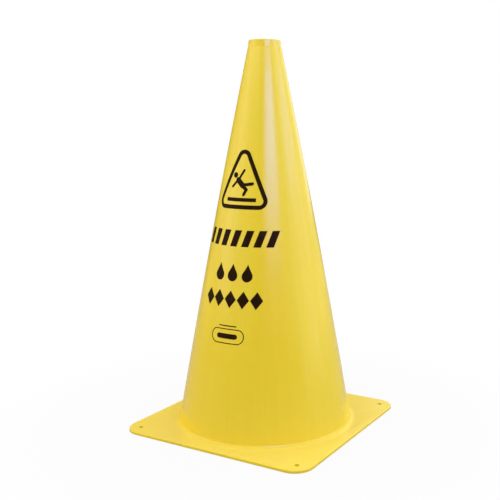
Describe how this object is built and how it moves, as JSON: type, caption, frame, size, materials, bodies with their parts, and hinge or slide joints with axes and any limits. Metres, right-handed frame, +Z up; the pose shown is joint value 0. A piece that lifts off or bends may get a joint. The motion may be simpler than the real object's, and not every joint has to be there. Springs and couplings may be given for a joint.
{
  "type": "wet floor cone",
  "caption": "Tall hollow yellow floor cone on a square base plate with corner holes, printed in black with a slipping figure in a triangle and rows of hazard marks.",
  "frame": {"origin": "middle of the square footprint, on the floor", "axes": "+Z up the cone's axis; -Y towards the printed front; +X along the front edge of the base, to the right as the front is read"},
  "size_m": [0.355, 0.355, 0.66],
  "materials": {
    "yellow_plastic": "satin moulded plastic, safety yellow",
    "black_ink": "flat screen-print ink, brown-black"
  },
  "bodies": {
    "root": {"base_plate": "yellow_plastic", "cone_body": "yellow_plastic", "front_triangle_frame": "black_ink", "front_figure_head": "black_ink", "front_figure_body": "black_ink", "front_floor_bar": "black_ink", "front_stripe_row": "black_ink", "front_drop_row": "black_ink", "front_tile_row": "black_ink", "front_badge_outline": "black_ink", "front_badge_bar": "black_ink", "front_badge_rule": "black_ink", "back_triangle_frame": "black_ink", "back_figure_head": "black_ink", "back_figure_body": "black_ink", "back_floor_bar": "black_ink", "back_stripe_row": "black_ink", "back_drop_row": "black_ink", "back_tile_row": "black_ink", "back_badge_outline": "black_ink", "back_badge_bar": "black_ink", "back_badge_rule": "black_ink"}
  },
  "joints": []
}
